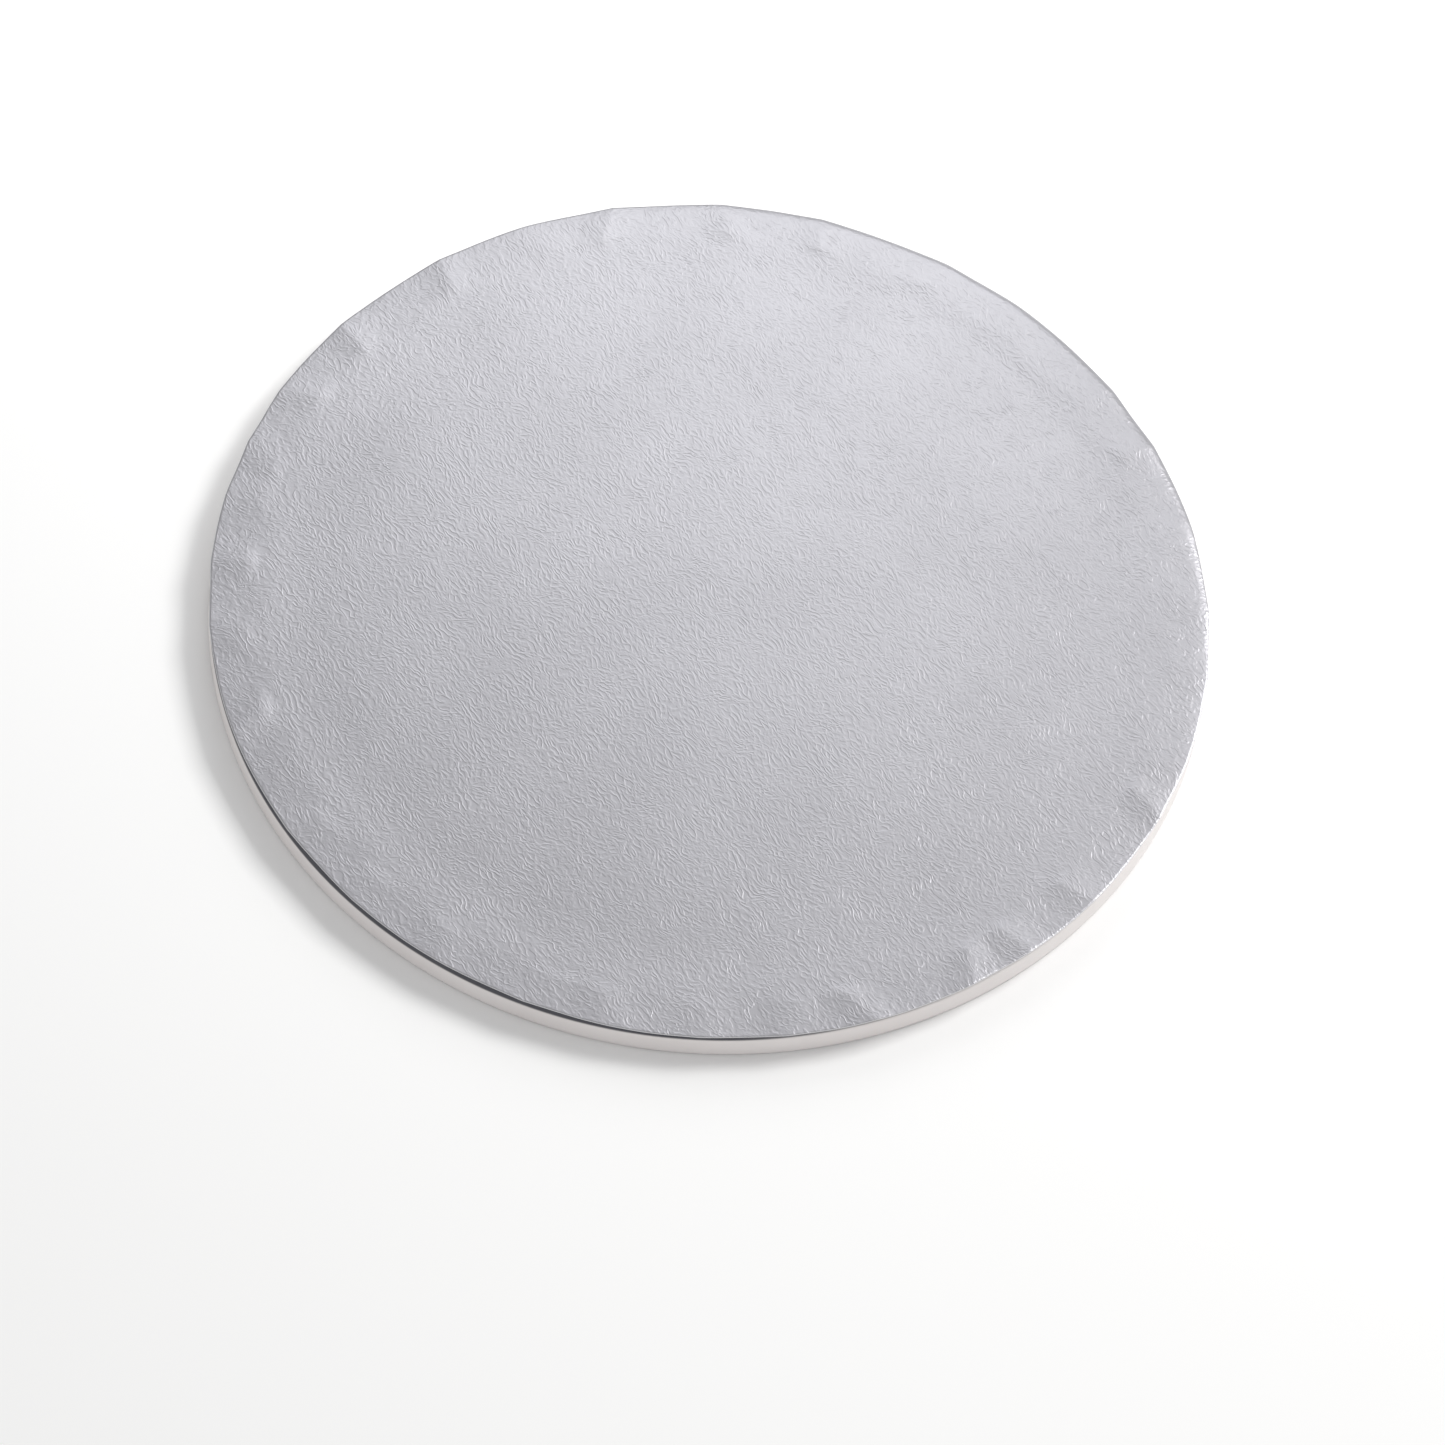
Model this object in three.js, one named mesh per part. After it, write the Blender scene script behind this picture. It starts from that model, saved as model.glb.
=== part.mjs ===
// Round silver cake board with a smooth edge.
// A rigid board disc carries everything. A satin paper band is wrapped round its side, and both edges of
// the band are turned in over the faces of the board in small pleats. Embossed foil paper is glued over
// the top, where the pleats under it stand out as ridges, and plain paper covers the underside.
// Millimetres, +Z up, with the origin under the centre, on the face that the board rests on.

import * as THREE from 'three';

// Whole board
const BOARD_DIAMETER = 350; // across the top sheet
const BOARD_HEIGHT = 12; // from the resting face to the highest pleat

// Thickness of the papers, with their glue
const TOP_PAPER = 0.4;
const BAND_PAPER = 0.3;
const BASE_PAPER = 0.3;

// Edge band
const TURN_IN = 14.5; // width of paper turned in over each face
const SHOULDER_REACH = 2; // upper bend, measured inwards
const SHOULDER_DROP = 1.2; // upper bend, measured downwards
const LOWER_SHOULDER = 0.8; // lower bend, both ways
const ROLL_FALL = 0.55; // how far the papers over the top fall from the pleats to the rim
const CRUSH_DEPTH = 1.4; // how far the upper bend is pressed down where it is crushed, away from the sheet
const CRUSH_BEARING = 228; // degrees counter-clockwise from +X
const CRUSH_SPREAD = 75; // degrees to each side

// Pleats in the turned-in paper
const PLEAT_BEARINGS = [
  7, 19, 31, 40, 56, 66, 82, 94, 107, 118, 129, 144, 156, 164, 172, 181,
  190, 205, 219, 231, 243, 254, 264, 274, 284, 294, 306, 314, 324, 338, 346, 358,
]; // degrees counter-clockwise from +X, at the rim
const FIRM_PLEATS = [31, 82, 94, 107, 129, 144, 156, 181, 205, 294, 306, 314, 324, 338];
const SOFT_SHARE = 0.5; // height of the other pleats beside the firm ones
const PLEAT_RELIEF = 0.5; // height of a firm pleat over the valleys
const PLEAT_LEAN = 2.6; // degrees that a pleat leans at most between the rim and its inner end
const PLEAT_RUN_UP = 6; // length over which a pleat rises from the flat
const LOWER_PLEAT_CLEARANCE = 0.1; // height of the lower pleats above the table

// Top sheet
const LIP = 0.4; // how far the sheet stands out past the band
const RAMP = 8; // width over which the sheet climbs onto the turned-in paper
const LIP_TRIM = 0.4; // how far the cut edge runs inside the full round between two pleats
const LIP_DROOP = 0.3; // how far the lip is pressed down where it hugs the bend
const DROOP_BEARING = 48; // degrees counter-clockwise from +X
const DROOP_SPREAD = 50; // degrees to each side

// Base sheet
const BASE_MARGIN = 7; // distance from its edge to the rim

// Room between curved or wavy faces; flat faces touch
const CLEARANCE = 0.15;

// Fineness of the facets
const STEPS_PER_PLEAT = 4;
const TURN_IN_RINGS = 3;
const BEND_STEPS = 3;
const LOWER_BEND_STEPS = 2;

// Radii
const boardRadius = BOARD_DIAMETER / 2;
const bandRadius = boardRadius - LIP;
const turnInEnd = bandRadius - TURN_IN;
const shoulderStart = bandRadius - SHOULDER_REACH;
const lowerShoulderStart = bandRadius - LOWER_SHOULDER;
const coreInset = BAND_PAPER + CLEARANCE;
const coreRadius = bandRadius - coreInset;
const rampEnd = turnInEnd - CLEARANCE;
const rampStart = rampEnd - RAMP;
const pleatStart = rampEnd - PLEAT_RUN_UP / 2;
const baseRadius = boardRadius - BASE_MARGIN;
const rollStart = turnInRadii()[TURN_IN_RINGS - 1]; // the papers roll down from here to the rim

// Heights
const turnInTop = BOARD_HEIGHT - PLEAT_RELIEF - TOP_PAPER - CLEARANCE;
const coreTop = turnInTop - BAND_PAPER;
const coreRebate = BASE_PAPER + BAND_PAPER;
const middle = BOARD_HEIGHT / 2;

const meridians = PLEAT_BEARINGS.length * STEPS_PER_PLEAT;
const goldenAngle = Math.PI * (3 - Math.sqrt(5)); // spreads the leans of the pleats without a pattern

// Profile point; pleat is +1 where upper pleats raise it, -1 where lower pleats press it down
function point(radius, height, pleat = 0) {
  const at = new THREE.Vector2(radius, height);
  at.pleat = pleat;
  return at;
}

// Quarter bend between two directions, in degrees from the outward direction
function bend(centreRadius, centreHeight, reach, drop, from, to, steps, pleat = 0) {
  const start = THREE.MathUtils.degToRad(from);
  const end = THREE.MathUtils.degToRad(to);
  const curve = new THREE.EllipseCurve(centreRadius, centreHeight, reach, drop, start, end, to < from);
  return curve.getPoints(steps).map((at) => point(at.x, at.y, pleat));
}

// Radii of the rings on the turned-in paper, from its end to the bend
function turnInRadii() {
  const rings = [];
  for (let ring = 0; ring <= TURN_IN_RINGS; ring++) {
    rings.push(THREE.MathUtils.lerp(turnInEnd, shoulderStart, ring / TURN_IN_RINGS));
  }
  return rings;
}

// Bearing of a pleat at the rim
function pleatBearing(pleat) {
  return PLEAT_BEARINGS[pleat] ?? PLEAT_BEARINGS[0] + 360;
}

// Degrees between a pleat's end at the rim and its inner end
function pleatLean(pleat) {
  return PLEAT_LEAN * Math.cos((pleat % PLEAT_BEARINGS.length) * goldenAngle);
}

// Value on a meridian: the pleats' crests lie on meridians, with even steps between them
function betweenPleats(meridian, valueAt) {
  const pleat = Math.floor(meridian / STEPS_PER_PLEAT);
  const share = (meridian % STEPS_PER_PLEAT) / STEPS_PER_PLEAT;
  return THREE.MathUtils.lerp(valueAt(pleat), valueAt(pleat + 1), share);
}

// Nearness of a meridian to the nearest crest: 1 on it, 0 half-way between two
function crestNearness(meridian) {
  const place = meridian / STEPS_PER_PLEAT;
  return 1 - 2 * Math.abs(place - Math.round(place));
}

// Height of the pleats on a meridian, from 0 in a valley to 1 on a firm crest
function pleatHeight(meridian) {
  const pleat = Math.round(meridian / STEPS_PER_PLEAT) % PLEAT_BEARINGS.length;
  const share = FIRM_PLEATS.includes(pleatBearing(pleat)) ? 1 : SOFT_SHARE;
  return share * crestNearness(meridian) ** 2;
}

// Soft bump round the board: 1 at the centre bearing, 0 from the spread outwards
function swell(bearing, centre, spread) {
  const away = Math.abs(THREE.MathUtils.euclideanModulo(bearing - centre + 180, 360) - 180);
  return away < spread ? (1 + Math.cos(Math.PI * away / spread)) / 2 : 0;
}

// Rise of the upper pleats at a radius
function pleatRise(meridian, radius) {
  const runUp = THREE.MathUtils.smoothstep(radius, pleatStart, pleatStart + PLEAT_RUN_UP);
  return PLEAT_RELIEF * runUp * pleatHeight(meridian);
}

// Fall of the papers towards the rim
function rollFall(radius) {
  return ROLL_FALL * (Math.max(radius - rollStart, 0) / (bandRadius - rollStart)) ** 2;
}

// Drop of the rolled and crushed upper bend, which the board's edge shares
function edgeDrop(radius, height, bearing) {
  const outward = THREE.MathUtils.smoothstep(radius, rollStart, bandRadius);
  const crush = CRUSH_DEPTH * swell(bearing, CRUSH_BEARING, CRUSH_SPREAD) * outward ** 2;
  return (rollFall(radius) + crush) * THREE.MathUtils.smoothstep(height, middle, coreTop);
}

// Closed solid from a profile that runs counter-clockwise in radius and height.
// adjust(at, meridian, bearing) gives the radius and height of a profile point on one meridian.
function revolve(profile, adjust) {
  const geometry = new THREE.LatheGeometry(profile, meridians);
  const position = geometry.attributes.position;
  for (let i = 0; i < position.count; i++) {
    const meridian = Math.floor(i / profile.length) % meridians;
    const at = profile[i % profile.length];
    const bearing = betweenPleats(meridian, pleatBearing);
    const [radius, height] = adjust(at, meridian, bearing);
    const inward = THREE.MathUtils.clamp((bandRadius - at.x) / TURN_IN, 0, 1);
    const angle = THREE.MathUtils.degToRad(bearing + betweenPleats(meridian, pleatLean) * inward);
    position.setXYZ(i, radius * Math.cos(angle), radius * Math.sin(angle), height);
  }
  geometry.computeVertexNormals();
  return geometry;
}

// Rigid board disc, with a shallow rebate below for the turned-in paper
function coreBoard() {
  const upperStart = coreRadius - SHOULDER_REACH;
  const lowerStart = coreRadius - LOWER_SHOULDER;
  const rebateEdge = turnInEnd - CLEARANCE;
  const lowerBend = [lowerStart, coreRebate + LOWER_SHOULDER, LOWER_SHOULDER, LOWER_SHOULDER];
  const upperBend = [upperStart, coreTop - SHOULDER_DROP, SHOULDER_REACH, SHOULDER_DROP];
  const profile = [
    point(0, BASE_PAPER),
    point(rebateEdge, BASE_PAPER),
    point(rebateEdge, coreRebate),
    ...bend(...lowerBend, -90, 0, LOWER_BEND_STEPS),
    ...bend(...upperBend, 0, 90, BEND_STEPS),
    point(rollStart - coreInset, coreTop),
    point(0, coreTop),
  ];
  return revolve(profile, (at, meridian, bearing) => {
    return [at.x, at.y - edgeDrop(at.x + coreInset, at.y, bearing)];
  });
}

// Paper band round the side: one C-shaped strip, with its pleats above and below
function edgeBand() {
  const pleatMiddle = (baseRadius + lowerShoulderStart) / 2;
  const lowerCentre = [lowerShoulderStart, BASE_PAPER + LOWER_SHOULDER];
  const upperCentre = [shoulderStart, turnInTop - SHOULDER_DROP];
  const lowerInside = LOWER_SHOULDER - BAND_PAPER;
  const reachInside = SHOULDER_REACH - BAND_PAPER;
  const dropInside = SHOULDER_DROP - BAND_PAPER;
  const profile = [
    point(turnInEnd, BASE_PAPER),
    point(baseRadius + CLEARANCE, BASE_PAPER),
    point(pleatMiddle, BASE_PAPER, -1),
    ...bend(...lowerCentre, LOWER_SHOULDER, LOWER_SHOULDER, -90, 0, LOWER_BEND_STEPS),
    ...bend(...upperCentre, SHOULDER_REACH, SHOULDER_DROP, 0, 90, BEND_STEPS, 1).slice(0, -1),
    ...turnInRadii().reverse().map((radius) => point(radius, turnInTop, 1)),
    point(turnInEnd, coreTop),
    point(rollStart, coreTop),
    ...bend(...upperCentre, reachInside, dropInside, 90, 0, BEND_STEPS),
    ...bend(...lowerCentre, lowerInside, lowerInside, 0, -90, LOWER_BEND_STEPS),
    point(turnInEnd, coreRebate),
    point(turnInEnd, BASE_PAPER),
  ];
  return revolve(profile, (at, meridian, bearing) => {
    const fade = 1 - THREE.MathUtils.smoothstep(at.x, shoulderStart, bandRadius);
    const above = at.pleat > 0 ? pleatRise(meridian, at.x) * fade : 0;
    const below = at.pleat < 0 ? (BASE_PAPER - LOWER_PLEAT_CLEARANCE) * pleatHeight(meridian) : 0;
    return [at.x, at.y + above - below - edgeDrop(at.x, at.y, bearing)];
  });
}

// Embossed foil paper: flat on the board, up over the turned-in paper and out to the lip
function topSheet() {
  const raised = turnInTop + CLEARANCE;
  const outline = [
    [0, coreTop],
    [rampStart, coreTop],
    [rampEnd, raised],
    ...turnInRadii().slice(1).map((radius) => [radius, raised]),
    [boardRadius, raised],
  ];
  const underside = outline.map(([radius, height]) => point(radius, height));
  const topside = outline.map(([radius, height]) => point(radius, height + TOP_PAPER)).reverse();
  return revolve([...underside, ...topside], (at, meridian, bearing) => {
    const lip = at.x === boardRadius ? 1 : 0;
    const fullRound = Math.cos(2 * THREE.MathUtils.degToRad(bearing)) ** 2;
    const chord = (1 - crestNearness(meridian) ** 2) * (1 - fullRound);
    const droop = LIP_DROOP * swell(bearing, DROOP_BEARING, DROOP_SPREAD) * lip;
    const fall = rollFall(at.x) * (1 - swell(bearing, CRUSH_BEARING, CRUSH_SPREAD));
    const height = at.y + pleatRise(meridian, at.x) - fall - droop;
    return [at.x - LIP_TRIM * chord * lip, height];
  });
}

// Plain paper disc under the board, over the end of the lower turned-in paper
function baseSheet() {
  const profile = [
    point(0, 0),
    point(baseRadius, 0),
    point(baseRadius, BASE_PAPER),
    point(0, BASE_PAPER),
  ];
  return revolve(profile, (at) => [at.x, at.y]);
}

function piece(name, geometry, color, roughness, metalness) {
  const material = new THREE.MeshStandardMaterial({ color, roughness, metalness });
  const mesh = new THREE.Mesh(geometry, material);
  mesh.name = name;
  return mesh;
}

const cakeBoard = new THREE.Group();
cakeBoard.add(
  piece('core_board', coreBoard(), '#a58d6e', 0.95, 0),
  piece('edge_band', edgeBand(), '#e6e1e0', 0.42, 0.35),
  piece('top_sheet', topSheet(), '#c6c6cc', 0.38, 0.7),
  piece('base_sheet', baseSheet(), '#f0efec', 0.85, 0),
);

export default cakeBoard;
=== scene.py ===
"""Round silver cake board on a white table: foil-paper top, satin edge band, plain paper base.

Lengths are millimetres until a mesh or a light is made, where MM turns them into metres.
Bearings are degrees counter-clockwise from +X, seen from above.
"""

import math

import bpy
import numpy as np
from mathutils import Matrix, Vector


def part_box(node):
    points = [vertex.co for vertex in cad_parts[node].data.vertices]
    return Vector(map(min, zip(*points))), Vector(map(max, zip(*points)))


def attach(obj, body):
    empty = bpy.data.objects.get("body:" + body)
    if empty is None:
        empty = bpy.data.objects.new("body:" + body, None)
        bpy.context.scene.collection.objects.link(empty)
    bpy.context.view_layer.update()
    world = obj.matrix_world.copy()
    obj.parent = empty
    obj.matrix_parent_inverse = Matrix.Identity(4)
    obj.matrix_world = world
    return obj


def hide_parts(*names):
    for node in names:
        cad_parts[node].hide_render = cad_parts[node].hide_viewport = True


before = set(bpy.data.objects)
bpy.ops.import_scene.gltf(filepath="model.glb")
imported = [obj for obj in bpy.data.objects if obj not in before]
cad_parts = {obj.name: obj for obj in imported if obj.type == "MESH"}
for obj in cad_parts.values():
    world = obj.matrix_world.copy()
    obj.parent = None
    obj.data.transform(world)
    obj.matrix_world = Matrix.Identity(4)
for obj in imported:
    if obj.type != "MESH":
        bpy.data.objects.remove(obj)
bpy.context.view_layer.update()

MM = 0.001

# Board, as the frame has it
RADIUS = max(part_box("top_sheet")[1][0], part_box("top_sheet")[1][1]) / MM
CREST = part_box("top_sheet")[1][2] / MM  # top of the highest pleat
BARE_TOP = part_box("core_board")[1][2] / MM  # the foil paper lies on this face of the board
BASE_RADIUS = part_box("base_sheet")[1][0] / MM
BASE_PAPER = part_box("base_sheet")[1][2] / MM

# Thickness of the other papers, and the room between bent ones
TOP_PAPER = 0.4
BAND_PAPER = 0.3
CLEARANCE = 0.15

# Edge band
LIP = 0.4  # how far the foil paper stands out past the band
TURN_IN = 14.5  # width of paper turned in over each face
SHOULDER_REACH = 2.0  # upper bend, measured inwards
SHOULDER_DROP = 1.2  # upper bend, measured downwards
LOWER_SHOULDER = 0.8  # lower bend, both ways
CRUSH_DEPTH = 1.4  # how far the upper bend is pressed down where it is crushed
CRUSH_BEARING = 228
CRUSH_SPREAD = 75  # degrees to each side

# Pleats
PLEAT_BEARINGS = (
    7, 19, 31, 40, 56, 66, 82, 94, 107, 118, 129, 144, 156, 164, 172, 181,
    190, 205, 219, 231, 243, 254, 264, 274, 284, 294, 306, 314, 324, 338, 346, 358,
)
FIRM_PLEATS = (31, 82, 94, 107, 129, 144, 156, 181, 205, 294, 306, 314, 324, 338)
SOFT_SHARE = 0.45  # height of a soft pleat beside a firm one
PLEAT_RELIEF = 0.5  # height of a firm pleat over the valleys
PLEAT_LEAN = 2.6  # degrees that a pleat leans at most between the rim and its inner end
PLEAT_RUN_UP = 6  # length over which a pleat rises from the flat
CREST_WIDTH = 4.2  # degrees from a crest to its valley
LOWER_PLEAT_DEPTH = 0.2
LOWER_PLEAT_START = 0.2  # distance from the base sheet to where the lower pleats begin
LOWER_PLEAT_END = 2.0  # distance from the base sheet to where they have their full depth
GOLDEN = math.pi * (3 - math.sqrt(5))  # spreads leans and chords without a pattern

# Foil paper's ramp up to the turned-in paper
RAMP = 8  # width of the ramp where it is steep
RAMP_EXTRA = 10  # how much wider it is elsewhere
RAMP_OVERRUN = 2.5  # how far it runs on past the end of the turned-in paper
RAMP_WANDER = 1.5  # how far its two ends wander in and out together
STEEP_SPREAD = 60  # degrees to each side of the droop's bearing

# Foil paper's fall to the rim
ROLL_FALL = 0.55  # how far the papers roll down towards the rim
ROLL_BEARING = 60  # where the foil paper hugs the roll; it bridges the crushed side
ROLL_SPREAD = 120
LIP_DROOP = 1.3  # how far it hugs the upper bend as well
DROOP_START = 171.5
DROOP_BEARING = 52
DROOP_SPREAD = 62

# Foil paper's cut edge and slow waves
LIP_CHORD = 0.55  # how far the cut edge runs at most inside the full round between two pleats
CHORD_VARIATION = 0.4  # share of that distance that differs from one pair of pleats to the next
CRUSH_TRIM = 0.6  # how far inside it runs on the crushed side
CUT_ROUND = 0.15  # rounding of the cut edge
WAVE_HEIGHT = 0.02
WAVE_RADII = (23, 17)  # change of radius for one radian of each wave
WAVE_START = 60  # radius at which the waves have their full height

# Radii and heights that follow
BAND_RADIUS = RADIUS - LIP
TURN_IN_END = BAND_RADIUS - TURN_IN
SHOULDER_START = BAND_RADIUS - SHOULDER_REACH
TURN_IN_TOP = CREST - PLEAT_RELIEF - TOP_PAPER - CLEARANCE
RAMP_END = TURN_IN_END - CLEARANCE
RAMP_START = RAMP_END - RAMP
PLEAT_START = RAMP_END - PLEAT_RUN_UP / 2
ROLL_START = (TURN_IN_END + 2 * SHOULDER_START) / 3  # the papers roll down from here to the rim

# Fineness of the foil paper's mesh
TOP_STEPS = 1080
HUB_RADIUS = 10  # radius of the first ring round the centre
RIM_MARGIN = 3  # the fine rings begin this far inside the ramp
FLAT_RINGS = 20
RIM_RINGS = 40
UNDERSIDE_RADII = (60, 120, RAMP_START, RAMP_END, 164, 168, SHOULDER_START, RADIUS - CUT_ROUND)

# Fineness of the band's mesh
BAND_STEPS = 720
LOWER_FLAT_POINTS = 14
LOWER_BEND_POINTS = 5
WALL_POINTS = 8
UPPER_BEND_POINTS = 9
UPPER_FLAT_POINTS = 12
INNER_UPPER_POINTS = 6
INNER_LOWER_POINTS = 4

# Foil paper's look; scales are per millimetre
FOIL_METALLIC = 0.8
FOIL_ROUGHNESS = 0.44  # on average
FOIL_ROUGHNESS_BETWEEN = 0.45  # between the creases
FOIL_ROUGHNESS_CREASE = 0.42  # on a crease
FOIL_DARK = (0.382, 0.378, 0.402)
FOIL_LIGHT = (0.402, 0.398, 0.423)
FOIL_CLOUD_SCALE = 0.02
FOIL_CLOUD_RANGE = (0.3, 0.7)
FOIL_TOOTH_SCALE = 2.2
FOIL_TOOTH_RELIEF = (0.05, 0.25)  # depth and strength

# Embossed grain of the foil paper; scales are per millimetre
EMBOSS_DEPTH = 0.069
MAIN_CREASES = (127, 3.6, 1.7, 3)  # heading, length, pitch and seed
CROSS_CREASES = (160, 2.8, 1.7, 41)
CREASE_WIDTH = 0.16  # in the noise's own range of 0 to 1
WARP_SCALE = 0.09
WARP = 4  # range over which the creases wander
TURNS_SCALE = 0.10  # the two families of creases take turns at this scale
TURNS_RANGE = (0.42, 0.68)
FADE_SCALE = 0.16  # the grain is weaker in patches of this scale
FADE_RANGE = (0.3, 0.6)
FADE_LOW = 0.75

# Edge paper's look
BAND_ROUGHNESS = 0.4  # on average
BAND_METALLIC = 0.15
BAND_DARK = (0.82, 0.775, 0.765)
BAND_LIGHT = (0.88, 0.845, 0.835)
BAND_CLOUD_SCALE = 0.05
BAND_TOOTH_SCALE = 1.6
BAND_TOOTH_RANGE = (0.25, 0.75)
BAND_TOOTH_RELIEF = (0.03, 0.5)  # depth and strength
BAND_ROUGHNESS_RANGE = (0.36, 0.46)

# Painted shade on the crushed side: the band's upper bend is coloured dark grey where the gap under the
# foil's lip is
GAP_SHADE_GREY = (0.10, 0.10, 0.115)
GAP_SHADE_FULL = 0.45  # distance inside the band's radius from which the grey is full
GAP_SHADE_NONE = 0.05  # distance inside at which it ends
GAP_SHADE_HEIGHTS = (5.0, 7.0)  # none below these heights, all above them
GAP_SHADE_TOWARD = (0.1, 0.7)  # share of the radius that lies towards the crushed side

# White paper under the foil
CUT_PAPER_ROUGHNESS = 0.8
CUT_PAPER_DARK = (0.72, 0.72, 0.74)
CUT_PAPER_LIGHT = (0.84, 0.84, 0.85)
CUT_PAPER_CLOUD_SCALE = 0.8
CUT_PAPER_TOOTH_SCALE = 3.0
CUT_PAPER_RELIEF = (0.04, 0.5)  # depth and strength

# Base paper and board; fibres are scale, detail, roughness and distortion, relief is depth and strength
BASE_ROUGHNESS = 0.82
BASE_FIBRES = (0.7, 5.0, 0.65, 0.6)
BASE_DARK = (0.78, 0.775, 0.75)
BASE_LIGHT = (0.88, 0.875, 0.86)
BASE_RELIEF = (0.05, 0.4)
CORE_ROUGHNESS = 0.92
CORE_FIBRES = (0.9, 6.0, 0.7, 0.8)
CORE_DARK = (0.30, 0.24, 0.17)
CORE_LIGHT = (0.47, 0.39, 0.29)
CORE_RELIEF = (0.12, 0.6)

# Table
TABLE_SIZE = 12  # metres
TABLE_DROP = 0.02  # keeps the table's face from lying in the board's
TABLE_ROUGHNESS = 0.9
TABLE_COLOUR = (0.95, 0.95, 0.95)

# Camera, from the photograph's outlines
IMAGE_SIZE = 1445
ELEVATION = 56.28
ROLL = -6.38
DISTANCE = 3000
FOCAL_PIXELS = 8555
CENTRE_PIXEL = (706.6, 643.3)  # image of the board's centre, at the depth below
CENTRE_DEPTH = -10.95
SENSOR_WIDTH = 36
CLIP_END = 50  # metres

# Light; each lamp has a bearing, an elevation, a distance and a size in metres, watts and a colour
WORLD_COLOUR = (1.0, 1.0, 1.0)
WORLD_STRENGTH = 0.55
LAMPS = (
    ("key", 33, 45, 2.5, 0.9, 39, (1.0, 0.995, 0.98)),
    ("softbox", 90, 40, 0.64, 0.42, 1.1, (0.98, 0.99, 1.0)),
)


def smoothstep(value, low, high):
    t = np.clip((value - low) / (high - low), 0, 1)
    return t * t * (3 - 2 * t)


def swell(bearing, centre, spread):
    """Soft bump: 1 at the centre bearing, 0 from the spread outwards."""
    away = np.abs((bearing - centre + 180) % 360 - 180)
    return np.where(away < spread, (1 + np.cos(np.pi * away / spread)) / 2, 0)


def pleats(bearing, radius):
    """Height of the pleats, 0 in a valley and 1 on a firm crest; arrays of bearings and radii."""
    inward = np.clip((BAND_RADIUS - radius) / TURN_IN, 0, 1)
    height = np.zeros(np.broadcast(bearing, radius).shape)
    for number, crest in enumerate(PLEAT_BEARINGS):
        lean = PLEAT_LEAN * math.cos(number * GOLDEN)
        away = np.abs((bearing - crest - lean * inward + 180) % 360 - 180)
        across = np.clip(away / CREST_WIDTH, 0, 1)
        shape = (1 - across ** 2) ** 2
        if crest in FIRM_PLEATS:
            shape = ((1 - across) ** 2 * 2 + shape) / 3
        else:
            shape = SOFT_SHARE * shape
        height = np.maximum(height, shape)
    return height


def run_up(radius):
    """Share of its height that a pleat has reached on its way out from the flat."""
    return smoothstep(radius, PLEAT_START, PLEAT_START + PLEAT_RUN_UP)


def roll_fall(radius):
    """Fall of the papers towards the rim."""
    return ROLL_FALL * (np.maximum(radius - ROLL_START, 0) / (BAND_RADIUS - ROLL_START)) ** 2


def polar_points(radii, heights, bearings):
    """Points for rings of radii and heights, each an array of one row a ring and one column a bearing."""
    angle = np.radians(bearings)[None, :]
    return np.stack([radii * np.cos(angle), radii * np.sin(angle), heights], axis=-1)


def ring_mesh(name, points, closed=False):
    """Mesh of rings of points; a disc closes on the two axis points at its ends, a band on itself."""
    rings, steps, _ = points.shape
    ring = np.arange(rings if closed else rings - 1)[:, None]
    step = np.arange(steps)[None, :]
    after = (step + 1) % steps
    row = ring * steps
    next_row = (ring + 1) % rings * steps
    quads = np.stack([row + step, row + after, next_row + after, next_row + step], axis=-1)
    vertices = points.reshape(-1, 3) * MM
    faces = quads.reshape(-1, 4).tolist()
    if not closed:
        low, high = len(vertices), len(vertices) + 1
        ends = np.array([[0, 0, points[0, 0, 2]], [0, 0, points[-1, 0, 2]]]) * MM
        vertices = np.vstack([vertices, ends])
        last = (rings - 1) * steps
        faces += [[low, (i + 1) % steps, i] for i in range(steps)]
        faces += [[high, last + i, last + (i + 1) % steps] for i in range(steps)]
    mesh = bpy.data.meshes.new(name)
    mesh.from_pydata(vertices.tolist(), [], faces)
    mesh.validate()
    mesh.shade_smooth()
    piece = bpy.data.objects.new(name, mesh)
    bpy.context.collection.objects.link(piece)
    return piece


def lip_trim(bearings):
    """How far the cut edge of the foil paper lies inside the full radius: least at the pleats."""
    crests = np.array(PLEAT_BEARINGS + (PLEAT_BEARINGS[0] + 360,))
    place = np.interp((bearings - crests[0]) % 360 + crests[0], crests, np.arange(len(crests)))
    valley = np.sin(np.pi * (place % 1))
    varied = 1 - CHORD_VARIATION + CHORD_VARIATION * np.cos(place * GOLDEN)
    return LIP_CHORD * valley * varied + CRUSH_TRIM * swell(bearings, CRUSH_BEARING, CRUSH_SPREAD)


def ramp(bearings, radii):
    """Climb of the foil paper from the bare board onto the turned-in paper; wider away from the droop."""
    angle = np.radians(bearings)
    wander = RAMP_WANDER * (1 + np.sin(5 * angle + 1) * np.cos(3 * angle))
    steep = swell(bearings, DROOP_BEARING, STEEP_SPREAD)
    share = smoothstep(radii + wander, RAMP_START - RAMP_EXTRA * (1 - steep), RAMP_END + RAMP_OVERRUN)
    return (TURN_IN_TOP + CLEARANCE - BARE_TOP) * share


def rim_fall(bearings, radii):
    """Fall of the foil paper where it hugs the roll and the upper bend."""
    outer = np.clip((radii - DROOP_START) / (RADIUS - DROOP_START), 0, 1)
    droop = LIP_DROOP * outer ** 3 * swell(bearings, DROOP_BEARING, DROOP_SPREAD)
    return roll_fall(radii) * swell(bearings, ROLL_BEARING, ROLL_SPREAD) + droop


def waves(bearings, radii):
    """Slow waves of the foil paper, all below its true height."""
    angle = np.radians(bearings)
    cloud = np.sin(radii / WAVE_RADII[0] + 2 * angle) * np.cos(radii / WAVE_RADII[1] - 3 * angle)
    return WAVE_HEIGHT * (cloud - 1) * smoothstep(radii, 0, WAVE_START)


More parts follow.
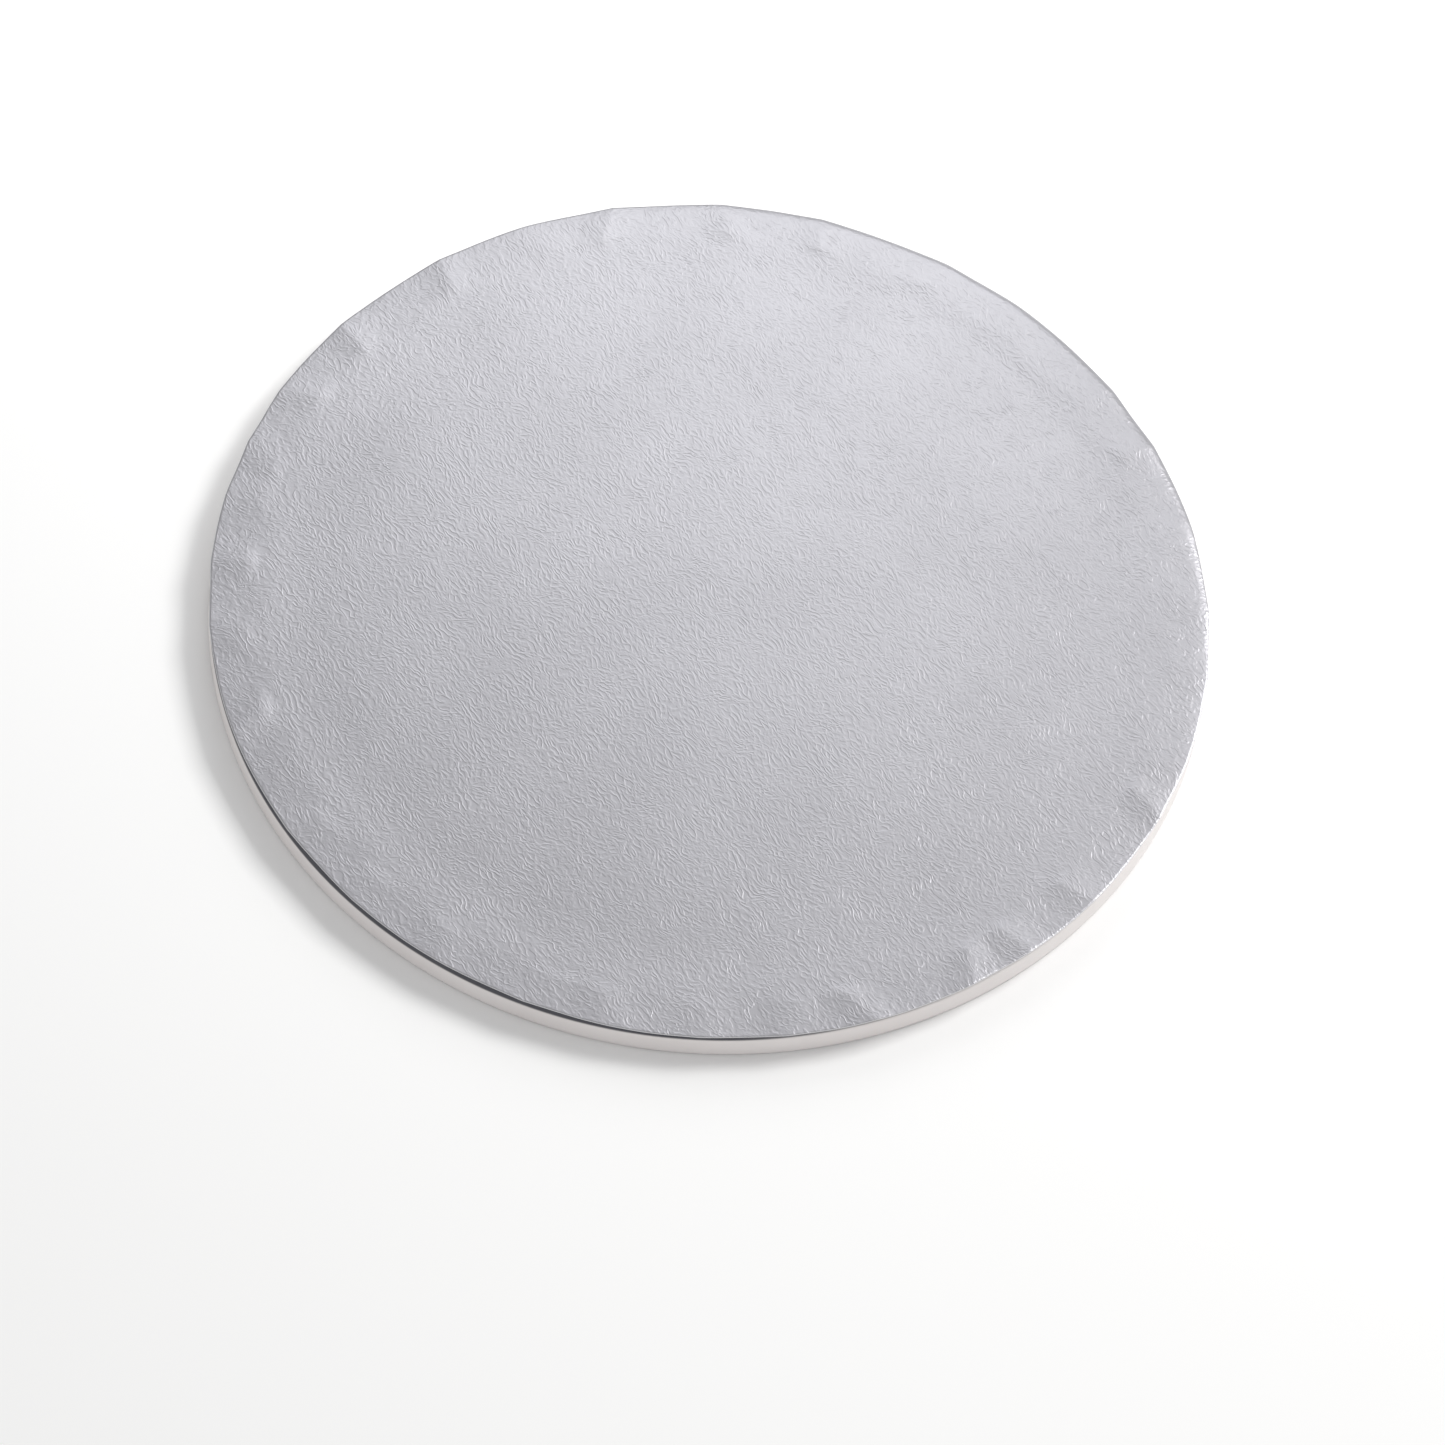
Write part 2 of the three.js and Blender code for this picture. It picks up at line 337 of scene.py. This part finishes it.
def foil_height(bearings, radii):
    """Upper face of the foil paper."""
    flat = BARE_TOP + TOP_PAPER
    relief = PLEAT_RELIEF * run_up(radii) * pleats(bearings, radii)
    return flat + ramp(bearings, radii) + relief - rim_fall(bearings, radii) + waves(bearings, radii)


def foil_top():
    """Embossed foil paper: flat on the board, up over the turned-in paper, pleated, with a cut lip."""
    bearings = np.arange(TOP_STEPS) * 360 / TOP_STEPS
    rim_start = RAMP_START - RIM_MARGIN
    flat = np.linspace(HUB_RADIUS, rim_start, FLAT_RINGS, endpoint=False)
    rim = np.linspace(rim_start, RADIUS - CUT_ROUND, RIM_RINGS)
    top_radii = np.concatenate([flat, rim])[:, None]
    low_radii = np.array(UNDERSIDE_RADII)[:, None]
    top = foil_height(bearings[None, :], top_radii)
    low = foil_height(bearings[None, :], low_radii) - TOP_PAPER
    edge = (top[-1:] + low[-1:]) / 2
    heights = np.concatenate([low, edge, top[::-1]])
    radii = np.concatenate([low_radii, [[RADIUS]], top_radii[::-1]])
    trimmed = radii - lip_trim(bearings)[None, :] * smoothstep(radii, ROLL_START, RADIUS)
    piece = ring_mesh("foil_top", polar_points(trimmed, heights, bearings))
    paper_backed(piece, len(low_radii) + 1)
    return piece


def paper_backed(piece, rings):
    """Give the second material to the underside and the cut edge: the first rings of faces and cap."""
    second = np.zeros(len(piece.data.polygons), dtype=np.int32)
    second[:rings * TOP_STEPS] = 1
    second[-2 * TOP_STEPS:-TOP_STEPS] = 1
    piece.data.polygons.foreach_set("material_index", second)


def arc(radius, height, reach, drop, start, end, points):
    """Radii and heights along a bend, between two directions in degrees from outward."""
    angle = np.radians(np.linspace(start, end, points))
    return radius + reach * np.cos(angle), height + drop * np.sin(angle)


def level(radii, height):
    """Radii and heights along a flat run."""
    return radii, np.full_like(radii, height)


def band_profile():
    """Radii and heights round the band's section, as columns, and which of them lie on its outer face."""
    low = (BAND_RADIUS - LOWER_SHOULDER, BASE_PAPER + LOWER_SHOULDER)
    high = (SHOULDER_START, TURN_IN_TOP - SHOULDER_DROP)
    inner = LOWER_SHOULDER - BAND_PAPER
    lower_flat = np.linspace(TURN_IN_END, low[0], LOWER_FLAT_POINTS, endpoint=False)
    upper_flat = np.linspace(high[0], TURN_IN_END, UPPER_FLAT_POINTS)[1:]
    wall = np.linspace(low[1], high[1], WALL_POINTS)[1:-1]
    outer_runs = [
        level(lower_flat, BASE_PAPER),
        arc(*low, LOWER_SHOULDER, LOWER_SHOULDER, -90, 0, LOWER_BEND_POINTS),
        (np.full_like(wall, BAND_RADIUS), wall),
        arc(*high, SHOULDER_REACH, SHOULDER_DROP, 0, 90, UPPER_BEND_POINTS),
        level(upper_flat, TURN_IN_TOP),
    ]
    inner_runs = [
        level(upper_flat[::-1], TURN_IN_TOP - BAND_PAPER),
        arc(*high, SHOULDER_REACH - BAND_PAPER, SHOULDER_DROP - BAND_PAPER, 90, 0, INNER_UPPER_POINTS),
        arc(*low, inner, inner, 0, -90, INNER_LOWER_POINTS),
        level(np.array([TURN_IN_END]), BASE_PAPER + BAND_PAPER),
    ]
    radii, heights = (np.concatenate(parts) for parts in zip(*outer_runs, *inner_runs))
    outer_points = sum(len(run[0]) for run in outer_runs)
    return radii[:, None], heights[:, None], (np.arange(len(radii)) < outer_points)[:, None]


def wrapped_band():
    """Satin paper round the side, turned in over both faces of the board, with its pleats."""
    radii, heights, outer = band_profile()
    bearings = np.arange(BAND_STEPS) * 360 / BAND_STEPS
    relief = pleats(bearings[None, :], radii)
    above = outer & (heights > CREST / 2)
    below = outer & np.isclose(heights, BASE_PAPER)
    fade = 1 - smoothstep(radii, SHOULDER_START, BAND_RADIUS)
    rise = PLEAT_RELIEF * run_up(radii) * relief * fade * above
    deepen = smoothstep(radii, BASE_RADIUS + LOWER_PLEAT_START, BASE_RADIUS + LOWER_PLEAT_END)
    dip = LOWER_PLEAT_DEPTH * relief * deepen * below
    outward = smoothstep(radii, ROLL_START, BAND_RADIUS)
    upward = smoothstep(heights, CREST / 2, TURN_IN_TOP - BAND_PAPER)
    crush = CRUSH_DEPTH * swell(bearings[None, :], CRUSH_BEARING, CRUSH_SPREAD) * outward ** 2
    drop = (roll_fall(radii) + crush) * upward
    points = polar_points(radii, heights + rise - dip - drop, bearings)
    return ring_mesh("wrapped_band", points, closed=True)


def node_material(name, roughness, metallic=0.0):
    """Material with its shader's uniform values set, and its tree for the rest."""
    material = bpy.data.materials.new(name)
    material.use_nodes = True
    shader = material.node_tree.nodes["Principled BSDF"]
    shader.inputs["Roughness"].default_value = roughness
    shader.inputs["Metallic"].default_value = metallic
    return material, material.node_tree, shader


def input_key(name):
    """Number or name of a node's input: i0 is the first, and underscores stand for spaces."""
    if name[0] == "i" and name[1:].isdigit():
        return int(name[1:])
    return name.replace("_", " ")


def add(tree, kind, operation=None, **inputs):
    """Node with its input values or links."""
    node = tree.nodes.new(kind)
    if operation:
        node.operation = operation
    for name, value in inputs.items():
        socket = node.inputs[input_key(name)]
        if isinstance(value, bpy.types.NodeSocket):
            tree.links.new(value, socket)
        else:
            socket.default_value = value
    return node


def millimetres(tree):
    """Position on the object in millimetres."""
    place = add(tree, "ShaderNodeTexCoord").outputs["Object"]
    return add(tree, "ShaderNodeVectorMath", "SCALE", Vector=place, Scale=1 / MM).outputs[0]


def noise(tree, place, scale, detail=2.0, roughness=0.5, distortion=0.0):
    node = add(
        tree, "ShaderNodeTexNoise",
        Vector=place, Scale=scale, Detail=detail, Roughness=roughness, Distortion=distortion,
    )
    return node.outputs["Fac"]


def between(tree, value, low, high, to_low=0.0, to_high=1.0):
    """Value mapped smoothly from one range to another."""
    node = add(
        tree, "ShaderNodeMapRange",
        Value=value, From_Min=low, From_Max=high, To_Min=to_low, To_Max=to_high,
    )
    node.interpolation_type = "SMOOTHSTEP"
    return node.outputs["Result"]


def math_node(tree, operation, first, second=0.0):
    return add(tree, "ShaderNodeMath", operation, i0=first, i1=second).outputs[0]


def along(tree, place, direction):
    """How far each point lies along a direction."""
    return add(tree, "ShaderNodeVectorMath", "DOT_PRODUCT", i0=place, i1=direction).outputs["Value"]


def tint(tree, share, low, high):
    """Colour between two others, each three numbers or a link."""
    node = tree.nodes.new("ShaderNodeMix")
    node.data_type = "RGBA"
    tree.links.new(share, node.inputs[0])
    for socket, colour in ((node.inputs[6], low), (node.inputs[7], high)):
        if isinstance(colour, bpy.types.NodeSocket):
            tree.links.new(colour, socket)
        else:
            socket.default_value = (*colour, 1)
    return node.outputs[2]


def bump(tree, height, depth, strength=1.0, under=None):
    """Normal that follows a height of 0 to 1, over another normal if there is one."""
    node = add(tree, "ShaderNodeBump", Strength=strength, Distance=depth * MM, Height=height)
    if under:
        tree.links.new(under, node.inputs["Normal"])
    return node.outputs[0]


def creases(tree, place, heading, length, pitch, seed):
    """Worm-like embossed creases that run mostly along one heading: 1 on a crease, 0 beside it."""
    turned = add(tree, "ShaderNodeMapping", Vector=place)
    turned.inputs["Location"].default_value = (seed, seed, seed)
    turned.inputs["Rotation"].default_value = (0, 0, -math.radians(heading))
    shrink = (1 / length, 1 / pitch, 1)
    stretched = add(tree, "ShaderNodeVectorMath", "MULTIPLY", i0=turned.outputs[0], i1=shrink)
    value = noise(tree, stretched.outputs[0], 1.0, 1.0, 0.4)
    off_line = math_node(tree, "ABSOLUTE", math_node(tree, "SUBTRACT", value, 0.5))
    return between(tree, off_line, 0.0, CREASE_WIDTH, 1.0, 0.0)


def emboss(tree, place):
    """Height of the embossed grain: two families of creases that wander and take turns."""
    wander = add(tree, "ShaderNodeTexNoise", Vector=place, Scale=WARP_SCALE, Detail=1.0)
    offset = add(tree, "ShaderNodeVectorMath", "SUBTRACT", i0=wander.outputs["Color"], i1=(0.5, 0.5, 0.5))
    warped = add(
        tree, "ShaderNodeVectorMath", "MULTIPLY_ADD",
        i0=offset.outputs[0], i1=(WARP, WARP, 0), i2=place,
    )
    main = creases(tree, warped.outputs[0], *MAIN_CREASES)
    cross = creases(tree, warped.outputs[0], *CROSS_CREASES)
    turns = between(tree, noise(tree, place, TURNS_SCALE, 1.0), *TURNS_RANGE)
    mixed = add(tree, "ShaderNodeMix", Factor=turns, A=main, B=cross)
    strong = between(tree, noise(tree, place, FADE_SCALE, 1.0), *FADE_RANGE, FADE_LOW, 1.0)
    return math_node(tree, "MULTIPLY", mixed.outputs[0], strong)


def foil_material():
    """Embossed silver foil paper: satin, cool grey, with wandering creases."""
    material, tree, shader = node_material("silver_foil_paper", FOIL_ROUGHNESS, FOIL_METALLIC)
    place = millimetres(tree)
    height = emboss(tree, place)
    cloud = between(tree, noise(tree, place, FOIL_CLOUD_SCALE), *FOIL_CLOUD_RANGE)
    tree.links.new(tint(tree, cloud, FOIL_DARK, FOIL_LIGHT), shader.inputs["Base Color"])
    rough = between(tree, height, 0.0, 1.0, FOIL_ROUGHNESS_BETWEEN, FOIL_ROUGHNESS_CREASE)
    tree.links.new(rough, shader.inputs["Roughness"])
    tooth = bump(tree, noise(tree, place, FOIL_TOOTH_SCALE), *FOIL_TOOTH_RELIEF)
    tree.links.new(bump(tree, height, EMBOSS_DEPTH, under=tooth), shader.inputs["Normal"])
    return material


def cut_paper_material():
    """White paper under the foil, seen at its cut edge and its back."""
    material, tree, shader = node_material("white_paper_back", CUT_PAPER_ROUGHNESS)
    place = millimetres(tree)
    cloud = noise(tree, place, CUT_PAPER_CLOUD_SCALE, 3.0)
    tree.links.new(tint(tree, cloud, CUT_PAPER_DARK, CUT_PAPER_LIGHT), shader.inputs["Base Color"])
    tooth = noise(tree, place, CUT_PAPER_TOOTH_SCALE, 3.0)
    tree.links.new(bump(tree, tooth, *CUT_PAPER_RELIEF), shader.inputs["Normal"])
    return material


def painted_gap_shade(tree, place):
    """1 on the upper bend of the crushed side, where the sheet stands off: where dark grey is painted as
    the shade of the gap under the lip.
    """
    flat = add(tree, "ShaderNodeVectorMath", "MULTIPLY", i0=place, i1=(1, 1, 0)).outputs[0]
    radius = add(tree, "ShaderNodeVectorMath", "LENGTH", i0=flat).outputs["Value"]
    inside = between(tree, radius, BAND_RADIUS - GAP_SHADE_FULL, BAND_RADIUS - GAP_SHADE_NONE, 1.0, 0.0)
    upper = between(tree, along(tree, place, (0, 0, 1)), *GAP_SHADE_HEIGHTS)
    crushed = math.radians(CRUSH_BEARING)
    outward = (math.cos(crushed) / RADIUS, math.sin(crushed) / RADIUS, 0)
    toward = between(tree, along(tree, place, outward), *GAP_SHADE_TOWARD)
    return math_node(tree, "MULTIPLY", math_node(tree, "MULTIPLY", inside, upper), toward)


def band_material():
    """Satin edge paper, near white and a little warm, with painted shade: dark grey on the upper bend of
    the crushed side, under the foil's lip.
    """
    material, tree, shader = node_material("satin_edge_paper", BAND_ROUGHNESS, BAND_METALLIC)
    place = millimetres(tree)
    paper = tint(tree, noise(tree, place, BAND_CLOUD_SCALE, 3.0), BAND_DARK, BAND_LIGHT)
    # Painted shade: the upper bend of the crushed side turns dark grey, standing in for the shadow in the
    # gap under the foil's lip.
    tree.links.new(tint(tree, painted_gap_shade(tree, place), paper, GAP_SHADE_GREY), shader.inputs["Base Color"])
    tooth = noise(tree, place, BAND_TOOTH_SCALE, 3.0)
    rough = between(tree, tooth, *BAND_TOOTH_RANGE, *BAND_ROUGHNESS_RANGE)
    tree.links.new(rough, shader.inputs["Roughness"])
    tree.links.new(bump(tree, tooth, *BAND_TOOTH_RELIEF), shader.inputs["Normal"])
    return material


def fibre_material(name, roughness, fibres, dark, light, relief):
    """Matte paper or board, whose colour and relief follow the same fibres."""
    material, tree, shader = node_material(name, roughness)
    fibre = noise(tree, millimetres(tree), *fibres)
    tree.links.new(tint(tree, fibre, dark, light), shader.inputs["Base Color"])
    tree.links.new(bump(tree, fibre, *relief), shader.inputs["Normal"])
    return material


def base_material():
    """Plain white paper under the board: matte, faintly fibrous."""
    look = (BASE_ROUGHNESS, BASE_FIBRES, BASE_DARK, BASE_LIGHT, BASE_RELIEF)
    return fibre_material("plain_base_paper", *look)


def core_material():
    """Grey-brown board, pulpy and matte."""
    look = (CORE_ROUGHNESS, CORE_FIBRES, CORE_DARK, CORE_LIGHT, CORE_RELIEF)
    return fibre_material("grey_board", *look)


def table():
    """White table top, much larger than the view."""
    bpy.ops.mesh.primitive_plane_add(size=TABLE_SIZE, location=(0, 0, -TABLE_DROP * MM))
    plane = bpy.context.object
    plane.name = "table"
    material, tree, shader = node_material("white_table", TABLE_ROUGHNESS)
    shader.inputs["Base Color"].default_value = (*TABLE_COLOUR, 1)
    plane.data.materials.append(material)


def camera():
    """Camera of the photograph, aimed so that the board's centre falls on its pixel, with no shift."""
    elevation = math.radians(ELEVATION)
    target = Vector((0, 0, CENTRE_DEPTH))
    place = target + DISTANCE * Vector((0, -math.cos(elevation), math.sin(elevation)))
    forward = (target - place).normalized()
    level_right = Vector((1, 0, 0))
    level_up = level_right.cross(forward)
    roll = math.radians(ROLL)
    right = math.cos(roll) * level_right - math.sin(roll) * level_up
    up = math.sin(roll) * level_right + math.cos(roll) * level_up
    centre = IMAGE_SIZE / 2
    left_by = (centre - CENTRE_PIXEL[0]) / FOCAL_PIXELS
    above_by = (centre - CENTRE_PIXEL[1]) / FOCAL_PIXELS
    forward = (forward + left_by * right - above_by * up).normalized()
    up = (up - up.dot(forward) * forward).normalized()
    right = forward.cross(up)
    data = bpy.data.cameras.new("camera")
    data.sensor_width = SENSOR_WIDTH
    data.lens = FOCAL_PIXELS / IMAGE_SIZE * SENSOR_WIDTH
    data.clip_end = CLIP_END
    view = bpy.data.objects.new("camera", data)
    turn = Matrix((right, up, -forward)).transposed().to_4x4()
    view.matrix_world = Matrix.Translation(place * MM) @ turn
    bpy.context.collection.objects.link(view)
    bpy.context.scene.camera = view


def area_light(name, bearing, elevation, distance, size, power, colour):
    """Square soft light, aimed at the middle of the board."""
    data = bpy.data.lights.new(name, "AREA")
    data.size = size
    data.energy = power
    data.color = colour
    lamp = bpy.data.objects.new(name, data)
    turn = math.radians(bearing)
    rise = math.radians(elevation)
    towards = Vector((math.cos(rise) * math.cos(turn), math.cos(rise) * math.sin(turn), math.sin(rise)))
    lamp.location = distance * towards
    lamp.rotation_euler = lamp.location.to_track_quat("Z", "Y").to_euler()
    bpy.context.collection.objects.link(lamp)


def light():
    world = bpy.data.worlds.new("studio")
    world.use_nodes = True
    background = world.node_tree.nodes["Background"]
    background.inputs["Color"].default_value = (*WORLD_COLOUR, 1)
    background.inputs["Strength"].default_value = WORLD_STRENGTH
    bpy.context.scene.world = world
    for lamp in LAMPS:
        area_light(*lamp)
    bpy.context.scene.view_settings.view_transform = "Standard"


top = foil_top()
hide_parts("top_sheet")
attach(top, "root")
top.data.materials.append(foil_material())
top.data.materials.append(cut_paper_material())

band = wrapped_band()
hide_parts("edge_band")
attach(band, "root")
band.data.materials.append(band_material())

for node, finish in (("core_board", core_material), ("base_sheet", base_material)):
    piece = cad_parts[node]
    piece.data.materials.clear()
    piece.data.materials.append(finish())

table()
camera()
light()
